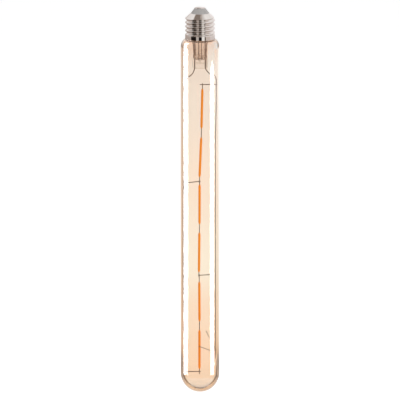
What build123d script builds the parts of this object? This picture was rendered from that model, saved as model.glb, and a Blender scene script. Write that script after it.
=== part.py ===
"""Tubular LED filament bulb with a 27 mm screw cap, hanging cap up.

Millimetres, +Z up. The origin is the middle of the centre contact's face, and the bulb
hangs down from it along -Z, 346 mm long. A blown amber tube holds six LED filaments in one
line, carried by two support wires that a pressed glass stem holds from the neck.
The driver sits inside the cap.
"""
import math
import os

from build123d import *

os.makedirs("parts", exist_ok=True)

# Glass tube
total_length = 346.0
tube_radius = 17.0
tube_wall = 1.3
end_bore_radius = 14.6
end_bore_middle = -328.2
end_bore_taper = 3.8
thickening_start = -312.0
shoulder_width = 4.6
shoulder_height = 7.4
neck_radius = 11.4
neck_top = -20.5
neck_bend = 1.0

# Screw cap
contact_radius = 4.85
contact_thickness = 0.5
rivet_radius = 1.3
rivet_bottom = -7.0
insulator_base_radius = 8.15
insulator_base = -4.9
insulator_waist_radius = 7.4
insulator_flange_radius = 7.75
insulator_bottom = -6.4
shell_wall = 0.3
shell_bottom = -28.0
cement_top = -24.9
cement_bottom = -27.0
skirt_radius = 13.2
skirt_top = -24.3
skirt_slope_top = -23.4
thread_pitch = 3.629
thread_major = 26.45
thread_minor = 23.6
thread_left_crest = -13.2
thread_bottom = -24.9
thread_top = -7.6
sections_a_turn = 6
cone_middle = (9.75, -6.2)
cone_foot = (11.7, -8.1)
cone_reach = (13.5, -9.8)
cone_overlap = -9.0
skirt_slope_radius = 11.8

# Glass stem
flare_wall = 1.0
flare_curve = [(8.5, -24.6), (7.3, -27.8)]
flare_inner_curve = [(6.15, -27.6), (7.4, -24.2)]
flare_rim_top = -21.6
flare_rim_bottom = -22.5
flare_waist_radius = 6.6
flare_waist = -32.0
flare_tube_radius = 5.8
flare_tube_bottom = -41.5
press_width = 12.9
press_thickness = 3.4
press_top = -46.5
press_bottom = -54.6
press_cavity_bottom = -45.0
press_cavity = (10.3, 1.2)
press_rounding = 1.1
pocket_radius = 1.9
pocket_side = 2.9
pocket_middle = -44.7
pinch_mark = -49.9
pinch_mark_length = 8.0
pinch_mark_radius = 0.6
pinch_mark_depth = 0.3
exhaust_radius = 1.9
exhaust_bore = 1.1
exhaust_top = -22.6
exhaust_hole = -48.0
exhaust_hole_radius = 0.7

# Wires
lead_radius = 0.4
lead_depth = 0.55
lead_spacing = 9.2
lead_top = -19.0
support_radius = 0.4
support_depth = 1.36
jumper_radius = 0.35
jumper_depth = 0.6
brace_radius = 0.25
touch_gap = 0.01

# LED filaments
filament_length = 35.6
filament_radius = 1.05
filament_tip_radius = 0.55
filament_taper = 1.6
pin_width = 0.8
pin_thickness = 0.25
pin_overlap = 1.3
last_pin_end = -330.6

# Heights of the seven welds, from the top pin to the bottom pin
weld_heights = [-69.1, -112.7, -156.2, -198.5, -241.0, -284.8, -328.5]

# Each filament's middle height, and its sideways place at its top and bottom end
filament_places = [
    (-90.7, 2.1, 1.3),
    (-134.4, 1.1, -0.4),
    (-176.8, -0.35, -0.45),
    (-220.2, -0.55, -0.95),
    (-264.6, -0.65, -0.45),
    (-308.1, -0.5, -0.5),
]

# Driver
board_radius = 11.2
board_top = -19.5
resistor_place = (-6.0, -4.0)
capacitor_place = (5.0, -4.5)
rectifier_place = (-3.6, 5.6)
chip_place = (4.0, 5.8)
neutral_place = (9.4, 0.0)
driver_wire_radius = 0.35


def bent_wire(route, bends, radius):
    """Sweep a round wire along straight runs that are joined by tangent arcs."""
    with BuildPart() as wire:
        with BuildLine() as path:
            if bends:
                FilletPolyline(*route, radius=bends)
            else:
                Line(*route)
        with BuildSketch(Plane(origin=path.line @ 0, z_dir=path.line % 0)):
            Circle(radius)
        sweep()
    return wire.part


def screw_form(inset):
    """The cap's outside form, or its inside form one wall further in."""
    body_radius = (thread_major + thread_minor) / 4 - inset
    swing = (thread_major - thread_minor) / 4
    thread_start = thread_left_crest - 3.5 * thread_pitch
    sections = math.ceil((thread_top - thread_start) / thread_pitch * sections_a_turn)
    crown = (insulator_base_radius - inset, insulator_base - inset)
    middle = (cone_middle[0] - inset, cone_middle[1] - inset)
    foot = (cone_foot[0] - inset, cone_foot[1] - inset / 2)
    reach = (cone_reach[0] - inset, cone_reach[1] - inset / 2)
    skirt = skirt_radius - inset
    skirt_end = shell_bottom - (1 if inset else 0)
    with BuildPart() as form:
        # A round section whose centre circles the axis once a pitch is the rolled thread
        for step in range(sections + 1):
            turn = 2 * math.pi * step / sections_a_turn
            with BuildSketch(Plane.XY.offset(thread_start + thread_pitch * step / sections_a_turn)):
                with Locations((swing * math.cos(turn), swing * math.sin(turn))):
                    Circle(body_radius)
        loft(ruled=True)
        # The thread runs out on the cone under the insulator
        with BuildSketch(Plane.XZ):
            with BuildLine():
                Line((0, thread_bottom), (0, crown[1]))
                Line((0, crown[1]), crown)
                ThreePointArc(crown, middle, foot)
                Polyline(foot, reach, (reach[0], thread_bottom), (0, thread_bottom))
            make_face()
        revolve(axis=Axis.Z, mode=Mode.INTERSECT)
        # The cone itself
        with BuildSketch(Plane.XZ):
            with BuildLine():
                Line((0, cone_overlap), (0, crown[1]))
                Line((0, crown[1]), crown)
                ThreePointArc(crown, middle, foot)
                Polyline(foot, (foot[0], cone_overlap), (0, cone_overlap))
            make_face()
        revolve(axis=Axis.Z)
        # The plain skirt
        with BuildSketch(Plane.XZ):
            with BuildLine():
                Polyline(
                    (0, skirt_end),
                    (skirt, skirt_end),
                    (skirt, skirt_top),
                    (skirt_slope_radius - inset, skirt_slope_top),
                    (0, skirt_slope_top),
                    close=True,
                )
            make_face()
        revolve(axis=Axis.Z)
    return form.part


# Centre contact, with its hollow rivet
with BuildPart() as centre_contact:
    with BuildSketch(Plane.XZ):
        with BuildLine():
            Polyline(
                (0, 0),
                (contact_radius - 0.25, 0),
                (contact_radius, -0.2),
                (contact_radius, -contact_thickness),
                (rivet_radius, -contact_thickness),
                (rivet_radius, rivet_bottom),
                (driver_wire_radius, rivet_bottom),
                (driver_wire_radius, insulator_base),
                (0, insulator_base),
                close=True,
            )
        make_face()
    revolve(axis=Axis.Z)
centre_contact.part.label = "centre_contact"
export_step(centre_contact.part, "parts/centre_contact.step")

# Moulded insulator between contact and shell
with BuildPart() as cap_insulator:
    with BuildSketch(Plane.XZ):
        with BuildLine():
            Polyline(
                (rivet_radius, -contact_thickness),
                (contact_radius, -contact_thickness),
                (insulator_base_radius, insulator_base),
                (insulator_waist_radius, insulator_base),
                (insulator_waist_radius, insulator_base - shell_wall),
                (insulator_flange_radius, insulator_base - shell_wall),
                (insulator_flange_radius, insulator_bottom),
                (rivet_radius, insulator_bottom),
                close=True,
            )
        make_face()
    revolve(axis=Axis.Z)
cap_insulator.part.label = "cap_insulator"
export_step(cap_insulator.part, "parts/cap_insulator.step")

# Rolled shell with the screw thread
shell_outside = screw_form(0)
shell_inside = screw_form(shell_wall)
with BuildPart() as cap_shell:
    add(shell_outside)
    add(shell_inside, mode=Mode.SUBTRACT)
    with BuildSketch(Plane.XY.offset(insulator_base)):
        Circle(insulator_waist_radius)
    extrude(amount=-2 * shell_wall, mode=Mode.SUBTRACT)
cap_shell.part.label = "cap_shell"
export_step(cap_shell.part, "parts/cap_shell.step")

# Cement ring between shell and glass neck
with BuildPart() as cap_cement:
    with BuildSketch(Plane.XZ):
        with BuildLine():
            Polyline(
                (neck_radius, cement_top),
                (skirt_radius - shell_wall, cement_top),
                (skirt_radius - shell_wall, cement_bottom),
                (neck_radius, cement_bottom),
                close=True,
            )
        make_face()
    revolve(axis=Axis.Z)
cap_cement.part.label = "cap_cement"
export_step(cap_cement.part, "parts/cap_cement.step")

# Blown glass tube with its neck, shoulder and round end
bore_radius = tube_radius - tube_wall
shoulder_middle = (tube_radius - shoulder_width, shell_bottom - shoulder_height)
end_middle = tube_radius - total_length
bend_middle = (neck_radius + neck_bend, shell_bottom + neck_bend)
with BuildPart() as glass_envelope:
    with BuildSketch(Plane.XZ):
        with BuildLine():
            neck = Line((neck_radius, neck_top), (neck_radius, bend_middle[1]))
            CenterArc(bend_middle, neck_bend, 180, 90)
            shoulder = EllipticalCenterArc(shoulder_middle, shoulder_width, shoulder_height, arc_size=90)
            Line(shoulder @ 0, (tube_radius, end_middle))
            end = CenterArc((0, end_middle), tube_radius, 0, -90)
            Line(end @ 1, (0, end_bore_middle - end_bore_radius))
            # The bore tapers into a smaller half ball, since the glass is thicker at its end
            end_bore = CenterArc((0, end_bore_middle), end_bore_radius, 270, 90 - end_bore_taper)
            taper = Line(end_bore @ 1, (bore_radius, thickening_start))
            Line(taper @ 1, (bore_radius, shoulder_middle[1]))
            EllipticalCenterArc(
                shoulder_middle,
                shoulder_width - tube_wall,
                shoulder_height - tube_wall,
                arc_size=90,
            )
            CenterArc(bend_middle, neck_bend + tube_wall, 270, -90)
            rim = Line((neck_radius - tube_wall, bend_middle[1]), (neck_radius - tube_wall, neck_top))
            Line(rim @ 1, neck @ 0)
        make_face()
    revolve(axis=Axis.Z)
glass_envelope.part.label = "glass_envelope"
export_step(glass_envelope.part, "parts/glass_envelope.step")

# Lead wires, from the driver board through the stem's press to the support wires
lead_bends = {"left": [3, 3, 10, 8, 2], "right": [2.5, 6, 4, 2, 3]}
lead_routes = {
    "left": [
        (-lead_spacing / 2, lead_top),
        (-lead_spacing / 2, press_bottom),
        (-6.4, -59.1),
        (-8.3, -60.9),
        (-10.4, -62.6),
        (-12.95, -65.2),
        (-12.95, -70.2),
    ],
    "right": [
        (lead_spacing / 2, lead_top),
        (lead_spacing / 2, press_bottom),
        (6.7, -57.6),
        (9.0, -59.9),
        (13.5, -61.9),
        (14.8, -64.9),
        (14.8, -68.7),
    ],
}
lead_wires = {}
for side_name, route in lead_routes.items():
    route_points = [(x, lead_depth, z) for x, z in route]
    wire = bent_wire(route_points, lead_bends[side_name], lead_radius)
    wire.label = f"lead_wire_{side_name}"
    export_step(wire, f"parts/lead_wire_{side_name}.step")
    lead_wires[side_name] = wire

# Glass stem: flare, exhaust tube and flat press in one fused piece
exhaust_seal = exhaust_top - exhaust_radius
with BuildPart() as glass_stem:
    # Flare, wide at the neck and narrow at the press
    with BuildSketch(Plane.XZ):
        with BuildLine():
            Polyline(
                (neck_radius - tube_wall, flare_rim_top),
                (neck_radius - tube_wall, flare_rim_bottom),
                *flare_curve,
                (flare_waist_radius, flare_waist),
                (flare_tube_radius, flare_tube_bottom),
                (flare_tube_radius - flare_wall, flare_tube_bottom),
                (flare_waist_radius - flare_wall, flare_waist),
                *flare_inner_curve,
                (neck_radius - tube_wall - flare_wall, flare_rim_top),
                close=True,
            )
        make_face()
    revolve(axis=Axis.Z)
    # The tube's end is pinched flat into the press
    with BuildSketch(Plane.XY.offset(flare_tube_bottom)):
        Circle(flare_tube_radius)
    with BuildSketch(Plane.XY.offset(press_top)):
        SlotOverall(press_width, press_thickness)
    loft()
    with BuildSketch(Plane.XY.offset(flare_tube_bottom)):
        Circle(flare_tube_radius - flare_wall)
    with BuildSketch(Plane.XY.offset(press_cavity_bottom)):
        SlotOverall(*press_cavity)
    loft(mode=Mode.SUBTRACT)
    # The cavity ends in a round pocket on each side of the exhaust tube
    with Locations((-pocket_side, 0, pocket_middle), (pocket_side, 0, pocket_middle)):
        Sphere(pocket_radius, mode=Mode.SUBTRACT)
    with BuildSketch(Plane.XY.offset(press_top)):
        SlotOverall(press_width, press_thickness)
    extrude(amount=press_bottom - press_top)
    lower_edges = glass_stem.part.edges().group_by(Axis.Z)[0]
    fillet(lower_edges, radius=press_rounding)
    # The pincers leave a shallow mark across both faces
    mark_offset = press_thickness / 2 + pinch_mark_radius - pinch_mark_depth
    with Locations((0, -mark_offset, pinch_mark), (0, mark_offset, pinch_mark)):
        Cylinder(pinch_mark_radius, pinch_mark_length, rotation=(0, 90, 0), mode=Mode.SUBTRACT)
    # Exhaust tube down the middle, sealed at its top
    with BuildSketch(Plane.XZ):
        with BuildLine():
            Polyline((0, press_top), (exhaust_radius, press_top), (exhaust_radius, exhaust_seal))
            CenterArc((0, exhaust_seal), exhaust_radius, 0, 90)
            Line((0, exhaust_top), (0, press_top))
        make_face()
    revolve(axis=Axis.Z)
    with BuildSketch(Plane.XZ):
        with BuildLine():
            Polyline((0, exhaust_hole), (exhaust_bore, exhaust_hole), (exhaust_bore, exhaust_seal))
            CenterArc((0, exhaust_seal), exhaust_bore, 0, 90)
            Line((0, exhaust_seal + exhaust_bore), (0, exhaust_hole))
        make_face()
    revolve(axis=Axis.Z, mode=Mode.SUBTRACT)
    # The hole that the air was drawn through
    with BuildSketch(Plane.XZ):
        with Locations((0, exhaust_hole + exhaust_bore)):
            Circle(exhaust_hole_radius)
    extrude(amount=press_thickness, mode=Mode.SUBTRACT)
    for wire in lead_wires.values():
        add(wire, mode=Mode.SUBTRACT)
glass_stem.part.label = "glass_stem"
export_step(glass_stem.part, "parts/glass_stem.step")

# Support wires, which spring lightly against the tube
support_routes = {
    "left": [
        (-12.95, -65.4),
        (-12.98, -90.0),
        (-15.05, -168.0),
        (-15.12, -240.0),
        (-14.5, -290.0),
        (-13.4, -330.0),
    ],
    "right": [(14.8, -65.4), (14.5, -92.0), (13.67, -122.0), (13.67, -316.8)],
}
support_bends = {"left": [600, 800, 800, 800], "right": [300, 300]}
for side_name, route in support_routes.items():
    route_points = [(x, support_depth, z) for x, z in route]
    wire = bent_wire(route_points, support_bends[side_name], support_radius)
    wire.label = f"support_wire_{side_name}"
    export_step(wire, f"parts/support_wire_{side_name}.step")

# Jumper wires from the row of filaments to the support wires
jumper_ends = {
    "top_jumper_wire": ((-0.1, -69.1), (15.3, -69.1)),
    "upper_left_jumper_wire": ((0.6, -156.1), (-15.3, -157.9)),
    "lower_right_jumper_wire": ((-1.6, -241.0), (14.3, -240.1)),
    "bottom_jumper_wire": ((0.7, -328.5), (-14.0, -328.5)),
}
for wire_name, (inner_point, outer_point) in jumper_ends.items():
    route_points = [(x, jumper_depth, z) for x, z in (inner_point, outer_point)]
    wire = bent_wire(route_points, None, jumper_radius)
    wire.label = wire_name
    export_step(wire, f"parts/{wire_name}.step")

# Brace wire, bent round the right support wire, with both ends against the tube
brace_bend = support_radius + brace_radius + touch_gap
brace_half_turn = math.radians(52)
brace_slack = 0.17
brace_corner = support_routes["right"][-1][0] + brace_bend / math.sin(brace_half_turn) + brace_slack
brace_route = [
    (5.5, 14.42, -293.8),
    (brace_corner, support_depth, -309.1),
    (9.6, -3.0, -308.6),
    (-0.9, -15.42, -302.1),
]
brace_wire = bent_wire(brace_route, [brace_bend, 8], brace_radius)
brace_wire.label = "brace_wire"
export_step(brace_wire, "parts/brace_wire.step")

# LED filaments: coated strips with a metal pin at each end
for number, (middle, top_side, bottom_side) in enumerate(filament_places, start=1):
    lean = (top_side - bottom_side) / filament_length
    half = filament_length / 2
    centre = (top_side + bottom_side) / 2
    facing = Plane(origin=(centre, 0, middle), x_dir=(1, 0, -lean), z_dir=(0, -1, 0))
    with BuildPart() as led_filament:
        with BuildSketch(facing):
            with BuildLine():
                Polyline(
                    (0, half),
                    (filament_tip_radius, half),
                    (filament_radius, half - filament_taper),
                    (filament_radius, filament_taper - half),
                    (filament_tip_radius, -half),
                    (0, -half),
                    close=True,
                )
            make_face()
        revolve(axis=Axis((centre, 0, middle), facing.y_dir))
    led_filament.part.label = f"led_filament_{number}"
    export_step(led_filament.part, f"parts/led_filament_{number}.step")

    upper_weld = weld_heights[number - 1]
    lower_weld = weld_heights[number]
    last = number == len(filament_places)
    top_reach = upper_weld + pin_overlap - middle
    bottom_reach = (last_pin_end if last else lower_weld - pin_overlap) - middle
    with BuildPart() as filament_pins:
        with BuildSketch(facing):
            with Locations((0, (half + top_reach) / 2)):
                Rectangle(pin_width, top_reach - half)
        extrude(amount=-pin_thickness)
        with BuildSketch(facing):
            with Locations((0, (bottom_reach - half) / 2)):
                Rectangle(pin_width, -half - bottom_reach)
        extrude(amount=-pin_thickness if last else pin_thickness)
    filament_pins.part.label = f"filament_pins_{number}"
    export_step(filament_pins.part, f"parts/filament_pins_{number}.step")

# Driver board, resting on the neck's rim
resistor_x, resistor_y = resistor_place
neutral_x, neutral_y = neutral_place
with BuildPart() as driver_board:
    with BuildSketch(Plane.XY.offset(board_top)):
        Circle(board_radius)
        with Locations((lead_routes["left"][0][0], lead_depth), (lead_routes["right"][0][0], lead_depth)):
            Circle(lead_radius, mode=Mode.SUBTRACT)
        with Locations(resistor_place, neutral_place):
            Circle(driver_wire_radius, mode=Mode.SUBTRACT)
    extrude(amount=neck_top - board_top)
driver_board.part.label = "driver_board"
export_step(driver_board.part, "parts/driver_board.step")

# Bridge rectifier and driver chip, each a moulded block on two bent legs
leg_thickness = 0.2
leg_width = 0.5
leg_rise = 0.9
leg_reach = 1.1
leg_bend = 0.4
chip_sizes = {
    "bridge_rectifier": (4.7, 3.8, 2.4, rectifier_place),
    "driver_chip": (4.9, 3.9, 1.5, chip_place),
}
for chip_name, (length, width, height, place) in chip_sizes.items():
    toe = width / 2 + leg_reach
    knee = width / 2 + leg_bend
    with BuildPart() as chip:
        with BuildSketch(Plane.XY.offset(board_top + leg_thickness)):
            with Locations(place):
                Rectangle(length, width)
        extrude(amount=height - leg_thickness, taper=5)
        with BuildSketch(Plane.YZ.offset(place[0])):
            with Locations((place[1], board_top)):
                Polygon(
                    (toe, 0),
                    (toe, leg_thickness),
                    (knee, leg_thickness),
                    (knee, leg_rise),
                    (-knee, leg_rise),
                    (-knee, leg_thickness),
                    (-toe, leg_thickness),
                    (-toe, 0),
                    (leg_thickness - knee, 0),
                    (leg_thickness - knee, leg_rise - leg_thickness),
                    (knee - leg_thickness, leg_rise - leg_thickness),
                    (knee - leg_thickness, 0),
                    align=None,
                )
        extrude(amount=leg_width / 2, both=True)
    chip.part.label = chip_name
    export_step(chip.part, f"parts/{chip_name}.step")

# Smoothing capacitor: a rolled can with its crimp groove
capacitor_radius = 3.15
capacitor_height = 8.5
groove_height = 1.6
with BuildPart() as smoothing_capacitor:
    with BuildSketch(Plane.XY.offset(board_top)):
        with Locations(capacitor_place):
            Circle(capacitor_radius)
    extrude(amount=capacitor_height)
    fillet(smoothing_capacitor.part.edges().sort_by(Axis.Z)[-1], radius=0.5)
    with Locations((*capacitor_place, board_top + groove_height)):
        Torus(capacitor_radius + 0.15, 0.45, mode=Mode.SUBTRACT)
smoothing_capacitor.part.label = "smoothing_capacitor"
export_step(smoothing_capacitor.part, "parts/smoothing_capacitor.step")

# Fusible resistor, standing on its lower lead
resistor_body_bottom = -17.6
resistor_body_top = -11.6
resistor_lead_top = -10.0
resistor_body_radius = 1.4
with BuildPart() as fuse_resistor:
    with BuildSketch(Plane.XZ.offset(-resistor_y)):
        with BuildLine():
            Polyline(
                (resistor_x, -20.9),
                (resistor_x + driver_wire_radius, -20.9),
                (resistor_x + driver_wire_radius, resistor_body_bottom),
                (resistor_x + resistor_body_radius - 0.3, resistor_body_bottom),
                (resistor_x + resistor_body_radius, resistor_body_bottom + 0.4),
                (resistor_x + resistor_body_radius, resistor_body_bottom + 1.4),
                (resistor_x + resistor_body_radius - 0.2, resistor_body_bottom + 1.8),
                (resistor_x + resistor_body_radius - 0.2, resistor_body_top - 1.8),
                (resistor_x + resistor_body_radius, resistor_body_top - 1.4),
                (resistor_x + resistor_body_radius, resistor_body_top - 0.4),
                (resistor_x + resistor_body_radius - 0.3, resistor_body_top),
                (resistor_x + driver_wire_radius, resistor_body_top),
                (resistor_x + driver_wire_radius, resistor_lead_top),
                (resistor_x, resistor_lead_top),
                close=True,
            )
        make_face()
    revolve(axis=Axis((resistor_x, resistor_y, 0), (0, 0, 1)))
fuse_resistor.part.label = "fuse_resistor"
export_step(fuse_resistor.part, "parts/fuse_resistor.step")

# Live wire, from the rivet's bore to the resistor
live_bend_height = -8.4
live_route = [
    (0, 0, insulator_base),
    (0, 0, live_bend_height),
    (resistor_x, resistor_y, live_bend_height),
    (resistor_x, resistor_y, resistor_lead_top),
]
live_wire = bent_wire(live_route, [1.2, 1.2], driver_wire_radius)
live_wire.label = "live_wire"
export_step(live_wire, "parts/live_wire.step")

# Neutral wire, from the board to the inside of the shell
shell_inner_radius = thread_minor / 2 - shell_wall
neutral_route = [
    (neutral_x, neutral_y, -20.9),
    (neutral_x, neutral_y, thread_left_crest),
    (shell_inner_radius - touch_gap, neutral_y, thread_left_crest),
]
neutral_wire = bent_wire(neutral_route, [1.2], driver_wire_radius)
neutral_wire.label = "neutral_wire"
export_step(neutral_wire, "parts/neutral_wire.step")
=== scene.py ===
# %% [markdown]
# A tubular filament bulb hangs from its screw cap: a long tube of amber glass, a row of six
# coated LED filaments down its middle, and a nickel-plated cap on top. This lesson dresses it
# piece by piece. The construction model is loaded first. It gives every piece's place, in
# metres, and nothing that it holds is moved.

# %% Load the construction model
import math

import bpy
import numpy as np
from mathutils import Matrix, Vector


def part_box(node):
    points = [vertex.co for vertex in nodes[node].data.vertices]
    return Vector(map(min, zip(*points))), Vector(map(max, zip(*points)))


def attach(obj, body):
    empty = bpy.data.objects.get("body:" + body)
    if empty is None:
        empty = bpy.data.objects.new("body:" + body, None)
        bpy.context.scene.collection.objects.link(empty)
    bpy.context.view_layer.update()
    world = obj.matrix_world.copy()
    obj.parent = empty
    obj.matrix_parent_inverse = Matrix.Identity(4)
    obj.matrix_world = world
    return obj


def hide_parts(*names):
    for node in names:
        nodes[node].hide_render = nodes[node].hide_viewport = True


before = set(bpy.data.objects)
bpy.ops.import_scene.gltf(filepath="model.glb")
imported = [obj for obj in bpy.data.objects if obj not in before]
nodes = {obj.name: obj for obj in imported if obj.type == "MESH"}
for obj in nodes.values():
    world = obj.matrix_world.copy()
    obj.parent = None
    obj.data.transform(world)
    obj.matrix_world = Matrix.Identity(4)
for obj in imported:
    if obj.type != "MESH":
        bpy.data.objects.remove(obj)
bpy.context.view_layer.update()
mm = 0.001

# %% [markdown]
# The photograph looks slightly down on the bulb from far away, so nothing tapers. A long lens
# at ten metres does the same. The width of the view and the point it looks at put the bulb in
# the same part of the picture.

# %% Camera
view_width = 0.3551
view_distance = 10.0
view_elevation = math.radians(10)
view_target = Vector((0, 0, -0.173))

camera = bpy.data.objects.new("camera", bpy.data.cameras.new("camera"))
bpy.context.scene.collection.objects.link(camera)
camera.data.lens = camera.data.sensor_width * view_distance / view_width
camera.data.clip_end = 2 * view_distance
to_camera = Vector((0, -math.cos(view_elevation), math.sin(view_elevation)))
camera.location = view_target + view_distance * to_camera
camera.rotation_euler = to_camera.to_track_quat("Z", "Y").to_euler()
bpy.context.scene.camera = camera
print(f"lens {camera.data.lens:.0f} mm")

# %% [markdown]
# Several materials here blend more than two colours, so one small helper fills a colour ramp
# from a list of stops. The colours that a mirrored ray meets are such a list. A stop at 0 is
# straight down, 0.5 is the horizon and 1 is straight up: light walls above, and dark warm
# ground below.

# %% Levels for reflections
mirrored_levels = [
    (0.00, (0.06, 0.035, 0.025)),
    (0.08, (0.10, 0.055, 0.040)),
    (0.12, (0.90, 0.68, 0.50)),
    (0.22, (1.00, 0.76, 0.56)),
    (0.31, (0.66, 0.55, 0.49)),
    (0.40, (0.40, 0.33, 0.29)),
    (0.47, (0.32, 0.28, 0.25)),
    (0.53, (0.86, 0.83, 0.81)),
    (1.00, (1.00, 0.98, 0.97)),
]


def fill_ramp(ramp, stops):
    """Set a colour ramp's stops from (position, colour) pairs."""
    while len(ramp.color_ramp.elements) < len(stops):
        ramp.color_ramp.elements.new(0.5)
    for element, (position, colour) in zip(ramp.color_ramp.elements, stops):
        element.position = position
        element.color = (*colour, 1)


print(f"{len(mirrored_levels)} levels from straight down to straight up")

# %% [markdown]
# The bulb is seen against white. The world is white where the camera meets it, and where a
# ray meets it that only passed through glass. A ray that was mirrored on its way, even inside
# the glass, meets the levels instead. Glass shows its edges and nickel its form through that
# contrast. All other rays bring a soft fill light. The Light Path node tells the rays apart:
# it counts the mirrorings of a ray as its glossy depth.

# %% World
studio_white = (1.0, 1.0, 1.0, 1.0)
seen_strength = 1.08
fill_strength = 0.62

world = bpy.data.worlds.new("studio")
bpy.context.scene.world = world
world.use_nodes = True
tree = world.node_tree
rays = tree.nodes.new("ShaderNodeLightPath")
was_mirrored = tree.nodes.new("ShaderNodeMath")
was_mirrored.operation = "GREATER_THAN"
was_mirrored.inputs[1].default_value = 0.5
tree.links.new(rays.outputs["Glossy Depth"], was_mirrored.inputs[0])
seen = tree.nodes.new("ShaderNodeMath")
seen.operation = "MAXIMUM"
tree.links.new(rays.outputs["Is Camera Ray"], seen.inputs[0])
tree.links.new(rays.outputs["Is Transmission Ray"], seen.inputs[1])

white = tree.nodes.new("ShaderNodeBackground")
white.inputs["Color"].default_value = studio_white
white.inputs["Strength"].default_value = seen_strength
fill = tree.nodes.new("ShaderNodeBackground")
fill.inputs["Color"].default_value = studio_white
fill.inputs["Strength"].default_value = fill_strength

direction = tree.nodes.new("ShaderNodeTexCoord")
upward = tree.nodes.new("ShaderNodeSeparateXYZ")
share = tree.nodes.new("ShaderNodeMapRange")
share.inputs["From Min"].default_value = -1.0
levels = tree.nodes.new("ShaderNodeValToRGB")
fill_ramp(levels, mirrored_levels)
walls = tree.nodes.new("ShaderNodeBackground")
tree.links.new(direction.outputs["Generated"], upward.inputs["Vector"])
tree.links.new(upward.outputs["Z"], share.inputs["Value"])
tree.links.new(share.outputs["Result"], levels.inputs["Fac"])
tree.links.new(levels.outputs["Color"], walls.inputs["Color"])

not_mirrored = tree.nodes.new("ShaderNodeMixShader")
tree.links.new(seen.outputs["Value"], not_mirrored.inputs["Fac"])
tree.links.new(fill.outputs["Background"], not_mirrored.inputs[1])
tree.links.new(white.outputs["Background"], not_mirrored.inputs[2])
shown = tree.nodes.new("ShaderNodeMixShader")
tree.links.new(was_mirrored.outputs["Value"], shown.inputs["Fac"])
tree.links.new(not_mirrored.outputs["Shader"], shown.inputs[1])
tree.links.new(walls.outputs["Background"], shown.inputs[2])
tree.links.new(shown.outputs["Shader"], tree.nodes["World Output"].inputs["Surface"])
print(f"{len(tree.nodes)} nodes in the world")

# %% [markdown]
# Light goes through both walls of the tube and through the stem inside it, and each face bends
# or mirrors it. Rays may take more steps than usual, so that no part of the glass turns black.

# %% Ray limits
scene = bpy.context.scene
scene.view_settings.view_transform = "Standard"
scene.cycles.max_bounces = 32
scene.cycles.transmission_bounces = 28
scene.cycles.glossy_bounces = 12
scene.cycles.transparent_max_bounces = 24
print(f"up to {scene.cycles.max_bounces} steps for a ray")

# %% [markdown]
# Two large soft lamps give the coated and painted pieces their shading. They don't show in
# mirror-like surfaces, because the reflections come from cards that are set up below.

# %% Lamps
lamp_size = 0.9


def soft_lamp(name, place, power):
    """A square lamp that faces the bulb's middle."""
    lamp = bpy.data.objects.new(name, bpy.data.lights.new(name, "AREA"))
    bpy.context.scene.collection.objects.link(lamp)
    lamp.data.size = lamp_size
    lamp.data.energy = power
    lamp.location = Vector(place)
    lamp.rotation_euler = (lamp.location - view_target).to_track_quat("Z", "Y").to_euler()
    lamp.visible_glossy = False
    lamp.visible_transmission = False
    return lamp


lamps = [soft_lamp("key_lamp", (1.1, -1.3, 0.7), 14.0), soft_lamp("side_lamp", (-1.3, -0.9, 0.3), 5.0)]
print(f"{len(lamps)} lamps")

# %% [markdown]
# Every mesh here is made from a list of points in metres and a list of faces. One helper turns
# them into an object, another gives an object its material, and a third makes a flat round
# sheet.

# %% Mesh helpers
def new_piece(name, points, faces):
    """A smooth mesh object from points in metres."""
    mesh = bpy.data.meshes.new(name)
    mesh.from_pydata([tuple(p) for p in points], [], faces)
    mesh.validate()
    mesh.shade_smooth()
    piece = bpy.data.objects.new(name, mesh)
    bpy.context.scene.collection.objects.link(piece)
    return piece


def dress(piece, material):
    """Give a piece one material in place of what it had."""
    piece.data.materials.clear()
    piece.data.materials.append(material)


def disc(name, radius, height, angles):
    """A flat sheet with a corner at each of the angles round the bulb's axis."""
    points = [(radius * math.cos(a), radius * math.sin(a), height) for a in angles]
    return new_piece(name, points, [list(range(len(points)))])


print("mesh helpers ready")

# %% [markdown]
# A pale floor lies under the hanging bulb. It is white to the camera and still takes the
# bulb's soft shadow: a plain white surface with a little light of its own. Mirror-like rays
# pass through it, so glass and nickel reflect the dim walls and the cards alone.

# %% Floor
floor_height = -0.400
floor_radius = 4.0
floor_corners = 96
floor_white = (0.86, 0.86, 0.855, 1.0)
floor_lift = 0.45

floor_angles = np.linspace(0, 2 * math.pi, floor_corners, endpoint=False)
floor = disc("floor", floor_radius, floor_height, floor_angles)
floor_paint = bpy.data.materials.new("floor_paint")
floor_paint.use_nodes = True
tree = floor_paint.node_tree
tree.nodes.remove(tree.nodes["Principled BSDF"])
matt = tree.nodes.new("ShaderNodeBsdfDiffuse")
matt.inputs["Color"].default_value = floor_white
lift = tree.nodes.new("ShaderNodeEmission")
lift.inputs["Color"].default_value = studio_white
lift.inputs["Strength"].default_value = floor_lift
lit = tree.nodes.new("ShaderNodeAddShader")
tree.links.new(matt.outputs["BSDF"], lit.inputs[0])
tree.links.new(lift.outputs["Emission"], lit.inputs[1])
tree.links.new(lit.outputs["Shader"], tree.nodes["Material Output"].inputs["Surface"])
dress(floor, floor_paint)
floor.visible_glossy = False
floor.visible_transmission = False
print(f"floor {floor_radius * 2:.0f} m wide, {-floor_height / mm:.0f} mm below the contact")

# %% [markdown]
# Glass and nickel show what stands round them, so a product photographer sets up cards. A card
# here is a glowing sheet that only some rays meet. Three counts of the Light Path node tell
# them apart: how often a ray was mirrored, how often it went through a surface, and whether
# the last surface was perfectly sharp. The glass is sharp and the nickel is a little rough, so
# each can have cards of its own, and the kind called mirrored serves both. A card meant for the
# glass's outer face alone is met by rays that went through nothing. A card that is seen through
# the tube is met by rays that went through three surfaces or more. Every other ray passes the
# card as if it weren't there.

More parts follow.
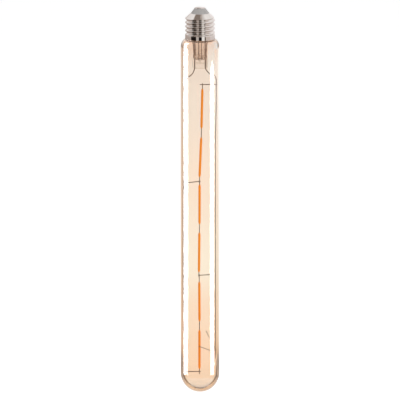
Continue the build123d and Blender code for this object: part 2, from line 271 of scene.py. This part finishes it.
# %% Kinds of rays
ray_counts = ("Glossy Depth", "Transmission Depth", "Is Singular Ray")
ray_kinds = {
    "mirrored": ((1, 12), (0, 2), (0, 1)),
    "by metal": ((1, 12), (0, 0), (0, 0)),
    "by glass": ((1, 1), (0, 2), (1, 1)),
    "off glass": ((1, 1), (0, 0), (1, 1)),
    "passed": ((0, 0), (3, 30), (0, 1)),
}
count_margin = 0.4


def matching_rays(tree, kind):
    """One where all of a ray's counts are within those of its kind, else zero."""
    rays = tree.nodes.new("ShaderNodeLightPath")
    all_match = None
    for count, (fewest, most) in zip(ray_counts, ray_kinds[kind]):
        match = tree.nodes.new("ShaderNodeMath")
        match.operation = "COMPARE"
        match.inputs[1].default_value = (fewest + most) / 2
        match.inputs[2].default_value = (most - fewest) / 2 + count_margin
        tree.links.new(rays.outputs[count], match.inputs[0])
        if all_match is None:
            all_match = match
            continue
        both = tree.nodes.new("ShaderNodeMath")
        both.operation = "MULTIPLY"
        tree.links.new(all_match.outputs["Value"], both.inputs[0])
        tree.links.new(match.outputs["Value"], both.inputs[1])
        all_match = both
    return all_match.outputs["Value"]


print(f"{len(ray_kinds)} kinds of rays")

# %% [markdown]
# The card's material mixes a light with full transparency. Its colour may change with the
# height, from a low one to a high one.

# %% Glowing cards
def glowing(name, kind, low_colour, high_colour=None, low=-1.0, high=1.0):
    """Light that changes between two heights in metres, met by one kind of ray."""
    made = bpy.data.materials.new(name)
    made.use_nodes = True
    tree = made.node_tree
    tree.nodes.remove(tree.nodes["Principled BSDF"])
    place = tree.nodes.new("ShaderNodeTexCoord")
    split = tree.nodes.new("ShaderNodeSeparateXYZ")
    share = tree.nodes.new("ShaderNodeMapRange")
    share.inputs["From Min"].default_value = low
    share.inputs["From Max"].default_value = high
    blend = tree.nodes.new("ShaderNodeMix")
    blend.data_type = "RGBA"
    blend.inputs["A"].default_value = (*low_colour, 1)
    blend.inputs["B"].default_value = (*(high_colour or low_colour), 1)
    light = tree.nodes.new("ShaderNodeEmission")
    unseen = tree.nodes.new("ShaderNodeBsdfTransparent")
    either = tree.nodes.new("ShaderNodeMixShader")
    tree.links.new(place.outputs["Object"], split.inputs["Vector"])
    tree.links.new(split.outputs["Z"], share.inputs["Value"])
    tree.links.new(share.outputs["Result"], blend.inputs["Factor"])
    tree.links.new(blend.outputs["Result"], light.inputs["Color"])
    tree.links.new(matching_rays(tree, kind), either.inputs["Fac"])
    tree.links.new(unseen.outputs["BSDF"], either.inputs[1])
    tree.links.new(light.outputs["Emission"], either.inputs[2])
    tree.links.new(either.outputs["Shader"], tree.nodes["Material Output"].inputs["Surface"])
    return made


def hide_but_mirror(piece):
    """The camera, matt surfaces and shadows don't see this piece."""
    piece.visible_camera = False
    piece.visible_diffuse = False
    piece.visible_shadow = False


print("card material ready")

# %% [markdown]
# Most cards are strips on a circle round the bulb. A strip's angles are measured from the
# camera's side, to the right. A ray that an upright wall mirrors goes on down as steeply as the
# camera looks down, and so does one that passes through it. A card therefore stands that much
# lower than the stretch of tube that shows it.

# %% Strips round the bulb
card_distance = 2.0
strip_columns = 24
camera_height = camera.location.z
camera_reach = -camera.location.y


def grid_faces(rows, columns):
    """Faces between rows of points that are listed one row after the other."""
    across = columns + 1
    corners = [r * across + c for r in range(rows - 1) for c in range(columns)]
    return [[k, k + 1, k + across + 1, k + across] for k in corners]


def mirrored_height(height, distance=card_distance):
    """Where the camera's ray to that height in mm of an upright wall goes on to meet a card."""
    slope = (camera_height - height * mm) / camera_reach
    return height * mm - slope * distance


def strip(name, start, end, bottom, tops, low_colour, high_colour=None, kind="mirrored",
          distance=card_distance):
    """A strip between two heights in metres; its top runs through the heights in tops."""
    angles = np.radians(np.linspace(start, end, strip_columns + 1))
    high = np.interp(np.linspace(0, 1, len(angles)), np.linspace(0, 1, len(tops)), tops)
    points = [(distance * math.sin(a), -distance * math.cos(a), bottom) for a in angles]
    points += [(distance * math.sin(a), -distance * math.cos(a), h) for a, h in zip(angles, high)]
    made = new_piece(name, points, grid_faces(2, strip_columns))
    dress(made, glowing(name, kind, low_colour, high_colour, bottom, max(high)))
    hide_but_mirror(made)
    return made


def card(name, start, end, bottom, tops, low_colour, high_colour=None, kind="mirrored",
         distance=card_distance):
    """A strip that shows in an upright wall between two heights in mm."""
    low = mirrored_height(bottom, distance)
    high = [mirrored_height(top, distance) for top in tops]
    return strip(name, start, end, low, high, low_colour, high_colour, kind, distance)


print(f"a card for the contact stands {-mirrored_height(0) / mm:.0f} mm below it")

# %% [markdown]
# Two tall white boxes draw the two bright lines down the tube. Tinted cards behind it colour
# what its edges mirror, and flags there colour what is seen through its edges. The brown line at
# the left edge is deepest about two thirds of the way down, so two more flags meet there, one
# that gets browner upwards and one that gets browner downwards.

# %% Cards for the straight tube
tube_start = -27.5
tube_end = -331.0
right_box_tops = [-53.6, -43.7, -53.6]
below_tube = -430
flag_bottom = -420
flag_top = 0
line_bottom = -310
line_middle = -230
line_top = -120
left_behind = (-172, -95)
right_behind = (95, 172)
right_side = (50, 135)
pale_bottom = -56
pale_distance = 2.1
line_distance = 1.9
box_white = (14.0, 14.0, 14.0)
line_brown = (0.10, 0.05, 0.02)
line_pale = (0.75, 0.74, 0.70)

tube_cards = [
    card("left_light_box", -118, -79, tube_end, [tube_start], box_white),
    card("right_light_box", 65, 95, tube_end, right_box_tops, box_white),
    card("left_edge_card", -180, -122, below_tube, [tube_start], (0.78, 0.56, 0.41), (0.76, 0.62, 0.52)),
    card("right_edge_card", 100, 180, below_tube, [tube_start], (0.80, 0.58, 0.40), (1.15, 1.15, 1.15)),
    card("left_flag", *left_behind, flag_bottom, [flag_top], (0.62, 0.56, 0.52), (0.78, 0.80, 0.80),
         "passed"),
    card("right_flag", *right_behind, flag_bottom, [flag_top], (0.66, 0.60, 0.48), (1.25, 1.30, 1.35),
         "passed"),
    card("left_line_low", *left_behind, line_bottom, [line_middle], line_pale, line_brown, "passed",
         line_distance),
    card("left_line_high", *left_behind, line_middle, [line_top], line_brown, line_pale, "passed",
         line_distance),
    card("right_pale_card", *right_side, pale_bottom, [tube_start], (0.8, 1.3, 1.4), (1.0, 2.2, 2.9),
         distance=pale_distance),
]
print(f"{len(tube_cards)} cards for the straight tube")

# %% [markdown]
# The shoulder leans back, so it mirrors what stands higher than the tube's own cards. The round
# end looks down: two brown cards give its inner face a dark contour, and a pale half disc on
# the floor in front is what its outer face shows.

# %% Cards for the shoulder and the round end
shoulder_top = 1.45
shoulder_white = (12.0, 12.0, 12.0)
shoulder_pale = (0.9, 1.7, 2.2)
contour_bottom = -3.8
contour_top = -0.84
contour_brown = (0.07, 0.035, 0.022)
table_radius = 0.17
table_corners = 48
table_pale = (0.9, 1.6, 2.0)

above_tube = mirrored_height(tube_start)
shoulder_cards = [
    strip("left_shoulder_box", -118, -88, above_tube, [shoulder_top], shoulder_white, kind="by glass"),
    strip("right_shoulder_card", *right_side, above_tube, [shoulder_top], shoulder_pale, kind="by glass"),
]
contour_cards = [
    strip("left_contour_card", -143, -122, contour_bottom, [contour_top], contour_brown),
    strip("right_contour_card", 122, 143, contour_bottom, [contour_top], contour_brown),
]
table_card = disc("table_card", table_radius, floor_height, np.linspace(-math.pi, 0, table_corners))
dress(table_card, glowing("table_card", "off glass", table_pale))
hide_but_mirror(table_card)
print(f"{len(shoulder_cards)} cards for the shoulder, {len(contour_cards) + 1} for the round end")

# %% [markdown]
# The cap needs its own surroundings. A shallow cone spreads from just under it and screens the
# tube's cards, and a ring stands on the cone's rim. Their sectors are what the nickel mirrors:
# black ones for the dark bands in front, one white one beside them, and warm grey all round.
# Each sector has one colour low down, where the skirt sees it, and another higher up, where the
# thread does. The band next to the cap is brown, for the line under each crest.

# %% Collar for the cap
collar_rings = [(14.5, -28.45), (18.0, -29.07), (1200.0, -239.0), (1200.0, 540.0)]
collar_blend = (0.025, 0.353)
collar_step = 4
under_crests = (0.10, 0.07, 0.055)
sectors = [
    (-180, -73.1, (0.52, 0.44, 0.40), (0.88, 0.83, 0.82)),
    (-73.1, -29.8, (0.012, 0.008, 0.007), (0.26, 0.21, 0.18)),
    (-29.8, -9.6, (0.57, 0.51, 0.47), (0.34, 0.28, 0.25)),
    (-9.6, 14.4, (0.006, 0.004, 0.004), (0.30, 0.245, 0.21)),
    (14.4, 35.8, (1.00, 0.98, 0.95), (0.52, 0.46, 0.42)),
    (35.8, 46.6, (0.13, 0.10, 0.08), (0.60, 0.54, 0.50)),
    (46.6, 84.8, (0.68, 0.59, 0.54), (0.88, 0.82, 0.80)),
    (84.8, 180, (0.77, 0.70, 0.68), (1.04, 1.00, 1.00)),
]
for number, (start, end, low_colour, high_colour) in enumerate(sectors, start=1):
    steps = max(2, round((end - start) / collar_step))
    angles = np.radians(np.linspace(start, end, steps + 1))
    points = [(r * math.sin(a) * mm, -r * math.cos(a) * mm, h * mm)
              for r, h in collar_rings for a in angles]
    sector = new_piece(f"collar_{number}", points, grid_faces(len(collar_rings), steps))
    dress(sector, glowing(f"collar_{number}", "by metal", low_colour, high_colour, *collar_blend))
    sector.data.materials.append(glowing(f"collar_foot_{number}", "by metal", under_crests))
    for face in sector.data.polygons[:steps]:
        face.material_index = 1
    hide_but_mirror(sector)
print(f"{len(sectors)} collar sectors")

# %% [markdown]
# A dim sheet arches over the cap from the front. The cone mirrors it as a soft dark patch, and
# the upper sides of the thread darken under it. It is laid in strips that get lighter towards
# the right, for a soft edge. Each row of the sheet runs between two directions, left and right.

# %% Arch
arch_reach = 1.6
arch_middle = Vector((0, 0, -0.015))
arch_columns = 4
arch_rows = [
    (Vector((-0.84, -0.34, 0.42)), Vector((0.30, -0.85, 0.42))),
    (Vector((-0.66, -0.10, 0.74)), Vector((0.36, -0.45, 0.80))),
    (Vector((-0.46, 0.10, 0.88)), Vector((0.40, 0.09, 0.91))),
    (Vector((-0.42, 0.32, 0.85)), Vector((0.36, 0.30, 0.88))),
]
arch_strips = [
    (0.00, 0.09, (0.52, 0.47, 0.43)),
    (0.09, 0.62, (0.27, 0.22, 0.19)),
    (0.62, 0.74, (0.48, 0.42, 0.38)),
    (0.74, 0.87, (0.70, 0.65, 0.62)),
    (0.87, 1.00, (0.83, 0.81, 0.79)),
]
for number, (start, end, colour) in enumerate(arch_strips, start=1):
    shares = np.linspace(start, end, arch_columns + 1)
    points = [arch_middle + arch_reach * left.lerp(right, float(share)).normalized()
              for left, right in arch_rows for share in shares]
    arch = new_piece(f"arch_{number}", points, grid_faces(len(arch_rows), arch_columns))
    dress(arch, glowing(f"arch_{number}", "by metal", colour))
    hide_but_mirror(arch)
print(f"{len(arch_strips)} strips overhead")

# %% [markdown]
# A bright card stands behind the bulb and above it. The domed contact shows it as its shine.

# %% Back card
back_distance = 1.1
back_half_width = 0.5
back_low = 0.36
back_high = 0.44
back_white = (1.4, 1.4, 1.4)

back_points = [(-back_half_width, back_distance, back_low), (back_half_width, back_distance, back_low),
               (back_half_width, back_distance, back_high), (-back_half_width, back_distance, back_high)]
back_card = new_piece("back_card", back_points, [[0, 1, 2, 3]])
dress(back_card, glowing("back_card", "by metal", back_white))
hide_but_mirror(back_card)
print(f"a card {back_distance:.1f} m behind")

# %% [markdown]
# The tube and its round end are turned on the bulb's axis, as on a lathe. A profile is a list of
# points, each a radius and a height in millimetres. One helper gives the points of an arc, and
# the other turns a closed profile. Where the profile meets the axis, the whole ring is one
# point, so that face has three corners.

# %% Turning helpers
axis_radius = 1e-6


def arc(middle, radius, start, end, steps, wide=1.0):
    """Points along an arc of a profile, from start to end degrees; wide stretches it sideways."""
    angles = np.radians(np.linspace(start, end, steps + 1))
    return [(middle[0] + wide * radius * math.cos(a), middle[1] + radius * math.sin(a)) for a in angles]


def turned(name, profile, columns):
    """A closed profile turned round the bulb's axis."""
    points = []
    rings = []
    for radius, height in profile:
        if radius < axis_radius:
            rings.append([len(points)] * columns)
            points.append((0, 0, height * mm))
            continue
        rings.append(range(len(points), len(points) + columns))
        for column in range(columns):
            angle = 2 * math.pi * column / columns
            points.append((radius * math.cos(angle) * mm, radius * math.sin(angle) * mm, height * mm))
    faces = []
    for here, there in zip(rings, rings[1:] + rings[:1]):
        for column in range(columns):
            beside = (column + 1) % columns
            corners = [here[column], there[column], there[beside], here[beside]]
            face = list(dict.fromkeys(corners))
            if len(face) > 2:
                faces.append(face)
    return new_piece(name, points, faces)


print("turning helpers ready")

# %% [markdown]
# The tube is one blown shell: a narrow neck under the cap, a round shoulder, a long straight
# wall and a half-round end. The construction model already has this form. Here it is turned
# again from arcs with many more columns, because clear glass shows every flat facet. The outer
# face runs from the neck down to the end. A ring just beside each arc keeps the straight wall's
# shading straight.

# %% Outer face of the tube
tube_low, tube_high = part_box("glass_envelope")
tube_bottom = tube_low.z / mm
neck_top = tube_high.z / mm
tube_radius = 17.0
shoulder_width = 4.6
shoulder_height = 7.4
neck_radius = 11.4
neck_bend = 1.0
shell_bottom = -28.0
beside_arc = 0.2
first_ring = -40
last_ring_lift = 4
wall_ring_count = 12
bend_steps = 6
shoulder_steps = 24
end_steps = 48

shoulder_middle = (tube_radius - shoulder_width, shell_bottom - shoulder_height)
end_middle = (0, tube_bottom + tube_radius)
wall_rings = np.linspace(first_ring, end_middle[1] + last_ring_lift, wall_ring_count)
straight = [shoulder_middle[1] - beside_arc, *wall_rings, end_middle[1] + beside_arc]
outside = [(neck_radius, neck_top), (neck_radius, shell_bottom + 2 * neck_bend)]
outside += arc((neck_radius + neck_bend, shell_bottom + neck_bend), neck_bend, 180, 270, bend_steps)
shoulder_share = shoulder_width / shoulder_height
outside += arc(shoulder_middle, shoulder_height, 90, 0, shoulder_steps, wide=shoulder_share)
outside += [(tube_radius, h) for h in straight]
outside += arc(end_middle, tube_radius, 0, -90, end_steps)
print(f"{len(outside)} points from the neck to the end")

# %% [markdown]
# The inner face goes back up. The glass is thicker at the round end, where its bore is smaller
# and sits a little higher, and a slow taper leads from there to the thin wall. Both faces are
# modelled, so light bends through the glass as it should.

# %% Inner face of the tube
tube_wall = 1.3
end_bore_radius = 14.6
end_bore_middle = (0, -328.2)
end_bore_taper = 3.8
thickening_start = -312.0
taper_first_lift = 3
taper_last_drop = 1
taper_ring_count = 4
bore_bend = 1.6
tube_columns = 192

bore_radius = tube_radius - tube_wall
inside = arc(end_bore_middle, end_bore_radius, -90, -end_bore_taper, end_steps)
taper_radius, taper_foot = inside[-1]
taper_spread = np.linspace(taper_foot + taper_first_lift, thickening_start - taper_last_drop,
                           taper_ring_count)
taper_rings = [taper_foot + beside_arc, *taper_spread]
taper = np.interp(taper_rings, [taper_foot, thickening_start], [taper_radius, bore_radius])
inside += list(zip(taper, taper_rings))
inside += [(bore_radius, h) for h in straight[::-1] if h > thickening_start]
inner_width = shoulder_width - tube_wall
inner_height = shoulder_height - tube_wall
inside += arc(shoulder_middle, inner_height, 0, 90, shoulder_steps, wide=inner_width / inner_height)
bend_offset = bore_bend - neck_bend
inside += arc((neck_radius + bend_offset, shell_bottom + bend_offset), bore_bend, 270, 180, bend_steps)
inside += [(neck_radius - tube_wall, neck_top)]
glass_tube = turned("glass_tube", outside + inside, tube_columns)
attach(glass_tube, "root")
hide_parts("glass_envelope")
print(f"tube {2 * tube_radius:.0f} mm wide, {len(glass_tube.data.polygons)} faces")

# %% [markdown]
# Tinted glass colours what is seen through it. A Principled shader with full transmission
# bends and reflects light, and its base colour is the tint. The tint follows the height here,
# and where the glass is seen edge on it may turn to a painted shade. Lamps would be blocked by
# a refracting shell, so their shadow rays pass straight through a tinted transparent shader.

# %% Glass material
glass_ior = 1.5
edge_shade_blend = 0.35


def tinted_glass(name, stops, shadow_tint, low, high, edge_shade=None):
    """Clear glass with a tint that changes between two heights in mm."""
    made = bpy.data.materials.new(name)
    made.use_nodes = True
    tree = made.node_tree
    shader = tree.nodes["Principled BSDF"]
    shader.inputs["Transmission Weight"].default_value = 1.0
    shader.inputs["Roughness"].default_value = 0.0
    shader.inputs["IOR"].default_value = glass_ior
    place = tree.nodes.new("ShaderNodeTexCoord")
    split = tree.nodes.new("ShaderNodeSeparateXYZ")
    share = tree.nodes.new("ShaderNodeMapRange")
    share.inputs["From Min"].default_value = low * mm
    share.inputs["From Max"].default_value = high * mm
    ramp = tree.nodes.new("ShaderNodeValToRGB")
    ramp.color_ramp.interpolation = "EASE"
    fill_ramp(ramp, stops)
    tree.links.new(place.outputs["Object"], split.inputs["Vector"])
    tree.links.new(split.outputs["Z"], share.inputs["Value"])
    tree.links.new(share.outputs["Result"], ramp.inputs["Fac"])
    tree.links.new(ramp.outputs["Color"], shader.inputs["Base Color"])
    # Where the glass is seen edge on, its tint turns to a painted shade.
    if edge_shade:
        edge_on = tree.nodes.new("ShaderNodeLayerWeight")
        edge_on.inputs["Blend"].default_value = edge_shade_blend
        blend = tree.nodes.new("ShaderNodeMix")
        blend.data_type = "RGBA"
        blend.inputs["B"].default_value = (*edge_shade, 1)
        tree.links.new(edge_on.outputs["Facing"], blend.inputs["Factor"])
        tree.links.new(ramp.outputs["Color"], blend.inputs["A"])
        tree.links.new(blend.outputs["Result"], shader.inputs["Base Color"])
    clear = tree.nodes.new("ShaderNodeBsdfTransparent")
    clear.inputs["Color"].default_value = (*shadow_tint, 1)
    rays = tree.nodes.new("ShaderNodeLightPath")
    either = tree.nodes.new("ShaderNodeMixShader")
    tree.links.new(rays.outputs["Is Shadow Ray"], either.inputs["Fac"])
    tree.links.new(shader.outputs["BSDF"], either.inputs[1])
    tree.links.new(clear.outputs["BSDF"], either.inputs[2])
    tree.links.new(either.outputs["Shader"], tree.nodes["Material Output"].inputs["Surface"])
    return made


print("glass material ready")

# %% [markdown]
# The tint is rosier and darker at the top, palest below its middle and more orange towards its
# end. The amber is the glass's own colour; the darker top is painted shade, for light that falls
# off towards the top. The stops run from the end, at 0, to the foot of the cap, at 1.

# %% Amber glass
# The amber is the glass's own colour; the darker stops towards the top are painted shade.
amber_and_shade_stops = [
    (0.00, (0.930, 0.790, 0.660)),
    (0.035, (0.930, 0.790, 0.660)),
    (0.065, (0.985, 0.822, 0.680)),
    (0.10, (0.994, 0.838, 0.700)),
    (0.22, (1.000, 0.868, 0.742)),
    (0.36, (1.000, 0.932, 0.830)),
    (0.60, (0.998, 0.895, 0.793)),
    (0.83, (0.960, 0.880, 0.798)),
    (0.91, (0.935, 0.853, 0.775)),
    (1.00, (0.905, 0.750, 0.640)),
]
amber_shadow = (0.97, 0.88, 0.76)
dress(glass_tube, tinted_glass("amber_glass", amber_and_shade_stops, amber_shadow, tube_bottom, shell_bottom))
print(f"{len(amber_and_shade_stops)} tints from the end to the cap")

# %% [markdown]
# The stem is clear glass. It starts as a flared tube, is melted to the neck, and is pinched
# flat at the bottom round the two lead wires. Seen edge on it shows dark brown lines, and these
# are painted shade: a brown tint wherever the glass is seen edge on.

# %% Stem glass
stem_low, stem_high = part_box("glass_stem")
stem_stops = [(0.0, (0.99, 0.98, 0.97)), (1.0, (0.985, 0.975, 0.96))]
stem_shadow = (0.97, 0.96, 0.94)
# Painted shade: the brown tint where the stem is seen edge on.
stem_painted_edge_shade = (0.30, 0.15, 0.08)
stem_span = (stem_low.z / mm, stem_high.z / mm)
stem_glass = tinted_glass("stem_glass", stem_stops, stem_shadow, *stem_span, stem_painted_edge_shade)
dress(nodes["glass_stem"], stem_glass)
print(f"stem {(stem_high.z - stem_low.z) / mm:.0f} mm tall")

# %% [markdown]
# Metal, plastic and coating share one recipe. Their colour wanders between two close shades and
# their roughness wanders with it, because no real surface is the same all over. A fine relief
# can be added. The grain says how many patches of colour there are in a metre.

# %% Material for solid surfaces
grain_detail = 3.0
shade_edges = (0.3, 0.7)
roughness_spread = 0.15
bump_strength = 0.5


def finish(name, colour, darker, roughness, metallic=0.0, grain=900.0, relief=0.0, shine=0.5):
    """A node material with drifting colour, drifting roughness and a relief in metres."""
    made = bpy.data.materials.new(name)
    made.use_nodes = True
    tree = made.node_tree
    shader = tree.nodes["Principled BSDF"]
    shader.inputs["Metallic"].default_value = metallic
    shader.inputs["Specular IOR Level"].default_value = shine
    place = tree.nodes.new("ShaderNodeTexCoord")
    noise = tree.nodes.new("ShaderNodeTexNoise")
    noise.inputs["Scale"].default_value = grain
    noise.inputs["Detail"].default_value = grain_detail
    shades = tree.nodes.new("ShaderNodeValToRGB")
    fill_ramp(shades, list(zip(shade_edges, (darker, colour))))
    spread = tree.nodes.new("ShaderNodeMapRange")
    spread.inputs["To Min"].default_value = roughness * (1 - roughness_spread)
    spread.inputs["To Max"].default_value = roughness * (1 + roughness_spread)
    tree.links.new(place.outputs["Object"], noise.inputs["Vector"])
    tree.links.new(noise.outputs["Fac"], shades.inputs["Fac"])
    tree.links.new(shades.outputs["Color"], shader.inputs["Base Color"])
    tree.links.new(noise.outputs["Fac"], spread.inputs["Value"])
    tree.links.new(spread.outputs["Result"], shader.inputs["Roughness"])
    if relief:
        bump = tree.nodes.new("ShaderNodeBump")
        bump.inputs["Strength"].default_value = bump_strength
        bump.inputs["Distance"].default_value = relief
        tree.links.new(noise.outputs["Fac"], bump.inputs["Height"])
        tree.links.new(bump.outputs["Normal"], shader.inputs["Normal"])
    return made


def dress_nodes(names, material):
    """Dress pieces of the construction model."""
    for name in names:
        dress(nodes[name], material)


print("surface material ready")

# %% [markdown]
# The cap is a rolled sheet of nickel-plated metal with a coarse round thread. One function gives
# its outside radius at any angle and height: the cone at the top, the thread, which rises by its
# pitch at every turn, or the plain skirt, whichever stands out furthest. The two outlines are
# pairs of a depth below the contact and a radius, in millimetres.

# %% Form of the cap
thread_pitch = 3.629
thread_crest = 13.225
thread_valley = 11.8
left_crest_height = -13.2
core_radius = 11.7
cone_foot = -8.1
core_foot = -9.6
skirt_start = -24.4
skirt_radius = 13.2
cone_outline = [(4.9, 8.15), (5.3, 8.75), (6.2, 9.75), (7.4, 10.95), (8.3, 11.9), (9.6, 13.3), (24.0, 13.4)]
skirt_outline = [(23.2, 0), (23.5, 11.9), (24.0, 13.0), (24.4, skirt_radius)]


def at_height(outline, height):
    """An outline's radius at a height."""
    depths, radii = zip(*outline)
    return float(np.interp(-height, depths, radii))


def cap_radius(angle, height):
    """The cap's outside radius in mm at an angle and a height."""
    if height < skirt_start:
        return skirt_radius
    phase = 2 * math.pi * (height - left_crest_height) / thread_pitch - (angle - math.pi)
    crest = 0.5 + 0.5 * math.cos(phase)
    thread = thread_valley + (thread_crest - thread_valley) * crest
    cone = at_height(cone_outline, height)
    core = 0
    if height > cone_foot:
        core = cone
    elif height >= core_foot:
        core = core_radius
    return max(core, min(thread, cone), at_height(skirt_outline, height))


print(f"thread {2 * thread_crest:.2f} mm over its crests")

# %% [markdown]
# A grid of heights and angles carries one radius for each point. The sheet is 0.3 mm thick, so
# the same grid is laid again one wall further in, and the two are joined at both rims.

# %% Screw cap
shell_wall = 0.3
cap_top = -4.9
cap_columns = 180
cap_rows = 200

heights = [cap_top + (shell_bottom - cap_top) * row / cap_rows for row in range(cap_rows + 1)]
angles = [2 * math.pi * column / cap_columns for column in range(cap_columns)]
points = []
for inset, rows in ((0.0, heights), (shell_wall, heights[::-1])):
    for height in rows:
        drop = inset if height > cone_foot else 0.0
        for angle in angles:
            radius = (cap_radius(angle, height) - inset) * mm
            points.append((radius * math.cos(angle), radius * math.sin(angle), (height - drop) * mm))
rings = 2 * len(heights)
faces = []
for ring in range(rings):
    upper = ring * cap_columns
    lower = (ring + 1) % rings * cap_columns
    for column in range(cap_columns):
        beside = (column + 1) % cap_columns
        faces.append([upper + column, lower + column, lower + beside, upper + beside])
screw_shell = new_piece("screw_shell", points, faces)
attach(screw_shell, "root")
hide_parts("cap_shell")
nickel = finish("nickel", (0.80, 0.765, 0.74), (0.77, 0.735, 0.71), 0.06, metallic=1.0, grain=260.0)
dress(screw_shell, nickel)
dress(nodes["centre_contact"], nickel)
print(f"cap with {len(faces)} faces")

# %% [markdown]
# The insulator between the cap and its centre contact is a grey moulded cone. The cement that
# glues the cap to the neck is a pale, rough ring that only its rim shows.

# %% Insulator and cement
grey_plastic = finish(
    "insulator_plastic", (0.37, 0.355, 0.345), (0.33, 0.315, 0.305), 0.45, relief=0.00002
)
cement = finish("cement", (0.80, 0.76, 0.68), (0.70, 0.65, 0.56), 0.9, grain=2500.0, relief=0.0001)
dress(nodes["cap_insulator"], grey_plastic)
dress(nodes["cap_cement"], cement)
print("insulator and cement dressed")

# %% [markdown]
# Each LED filament is a row of tiny chips on a strip, under a soft orange coat. The coat is
# the colour of strong tea when the bulb is off, and a fine relief makes it slightly lumpy. Each
# filament ends in two flat tin-plated pins.

# %% Filaments and their pins
filament_count = 6
coating = finish(
    "filament_coating", (1.0, 0.36, 0.008), (0.96, 0.31, 0.006), 0.5,
    grain=1400.0, relief=0.00004, shine=0.2,
)
pin_metal = finish("pin_metal", (0.50, 0.46, 0.41), (0.40, 0.36, 0.31), 0.35, metallic=1.0)
for number in range(1, filament_count + 1):
    dress(nodes[f"led_filament_{number}"], coating)
    dress(nodes[f"filament_pins_{number}"], pin_metal)
print(f"{filament_count} filaments dressed")

# %% [markdown]
# The wires are drawn nickel and iron, dark brown here. The two leads come out of the stem,
# and the support wires and short jumpers carry the filaments.

# %% Wires
lead_metal = finish("lead_metal", (0.22, 0.135, 0.085), (0.17, 0.10, 0.06), 0.35, metallic=1.0, grain=700.0)
wire_metal = finish("wire_metal", (0.20, 0.125, 0.085), (0.15, 0.09, 0.06), 0.32, metallic=1.0, grain=700.0)
leads = ("lead_wire_left", "lead_wire_right")
frame_wires = ("support_wire_left", "support_wire_right", "top_jumper_wire", "upper_left_jumper_wire",
               "lower_right_jumper_wire", "bottom_jumper_wire", "brace_wire")
dress_nodes(leads, lead_metal)
dress_nodes(frame_wires, wire_metal)
print(f"{len(leads) + len(frame_wires)} wires dressed")

# %% [markdown]
# The driver is hidden inside the cap. Its board, chips, can and resistor still get the finish
# of the real parts, because the cap can be opened.

# %% Driver
board_green = finish("board", (0.10, 0.30, 0.14), (0.07, 0.22, 0.10), 0.4, grain=1200.0, relief=0.00002)
chip_plastic = finish(
    "chip_plastic", (0.030, 0.030, 0.032), (0.020, 0.020, 0.022), 0.55, grain=3000.0, relief=0.00002
)
can_metal = finish("can_metal", (0.82, 0.83, 0.84), (0.74, 0.75, 0.77), 0.25, metallic=1.0, grain=500.0)
resistor_body = finish(
    "resistor_body", (0.25, 0.45, 0.40), (0.20, 0.38, 0.34), 0.45, grain=1500.0, relief=0.00003
)
wire_sleeve = finish(
    "wire_sleeve", (0.75, 0.74, 0.70), (0.66, 0.65, 0.61), 0.5, grain=1500.0, relief=0.00002
)
dress_nodes(("driver_board",), board_green)
dress_nodes(("bridge_rectifier", "driver_chip"), chip_plastic)
dress_nodes(("smoothing_capacitor",), can_metal)
dress_nodes(("fuse_resistor",), resistor_body)
dress_nodes(("live_wire", "neutral_wire"), wire_sleeve)
print("driver dressed")
